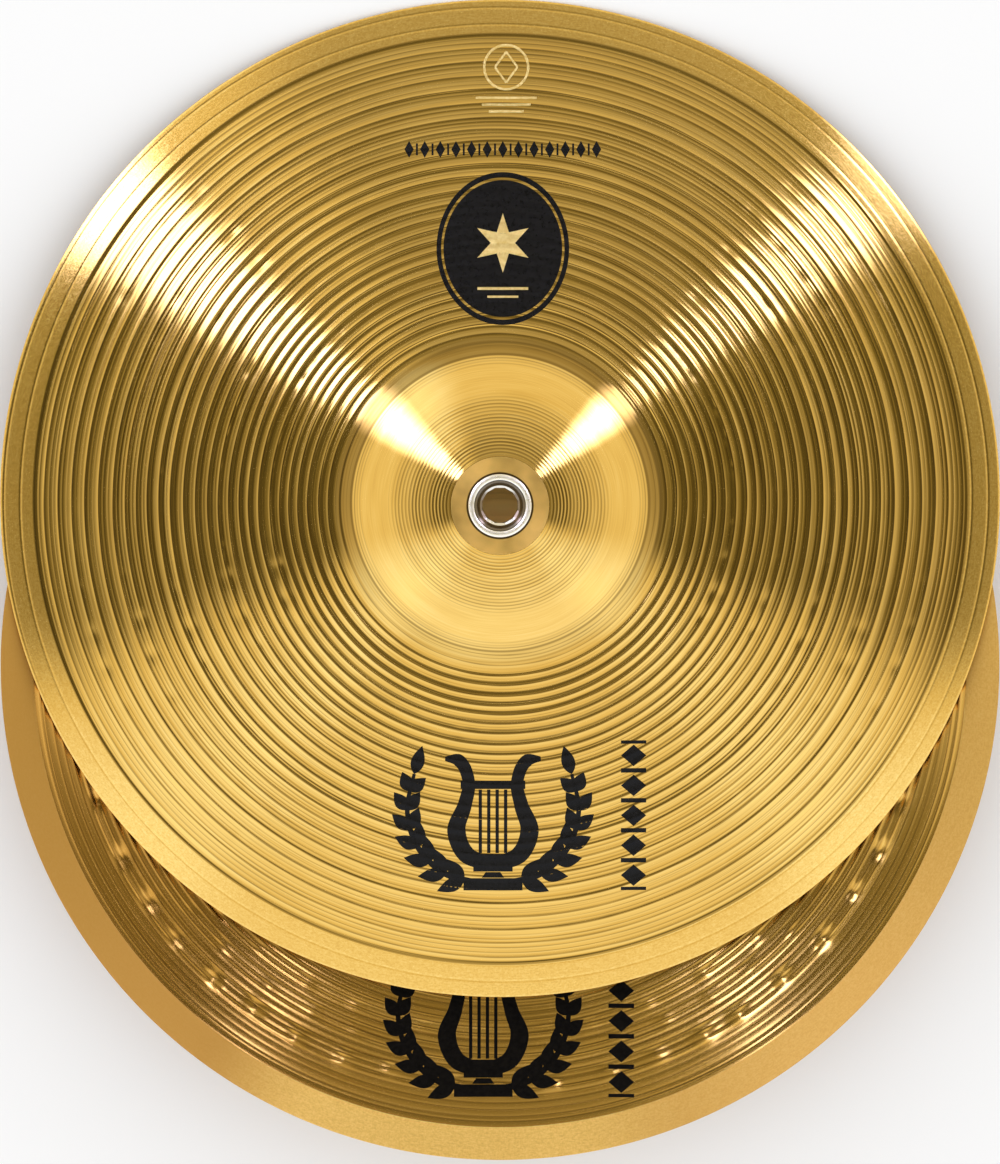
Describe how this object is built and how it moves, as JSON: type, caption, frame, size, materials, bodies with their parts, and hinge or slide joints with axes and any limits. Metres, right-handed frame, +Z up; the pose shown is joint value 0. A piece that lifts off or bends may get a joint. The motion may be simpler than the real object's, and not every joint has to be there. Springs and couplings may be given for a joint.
{
  "type": "hand cymbals",
  "caption": "Pair of round bronze hand cymbals with raised bells, lathed bows and nickel strap-hole eyelets, lying one on the other.",
  "frame": {"origin": "on the floor, under the middle of the pair's bounding box", "axes": "+Z up, +Y from the lower cymbal towards the upper one, +X across the pair"},
  "size_m": [0.3556, 0.4129, 0.0606],
  "materials": {
    "lathed_bronze": "lathed and polished, satin rim",
    "nickel": "bright nickel plate",
    "black_ink": "screen-printed ink",
    "gold_ink": "gold screen print"
  },
  "bodies": {
    "lower_cymbal": {"lower_cymbal_plate": "lathed_bronze", "lower_eyelet": "nickel", "lower_eyelet_washer": "nickel"},
    "upper_cymbal": {"upper_cymbal_plate": "lathed_bronze", "upper_eyelet": "nickel", "upper_eyelet_washer": "nickel"}
  },
  "joints": [
    {"name": "clash_stroke", "type": "slide", "parent": "lower_cymbal", "child": "upper_cymbal", "axis": [0, 0.1494, 0.9888], "range_m": [0, 0.25]}
  ]
}
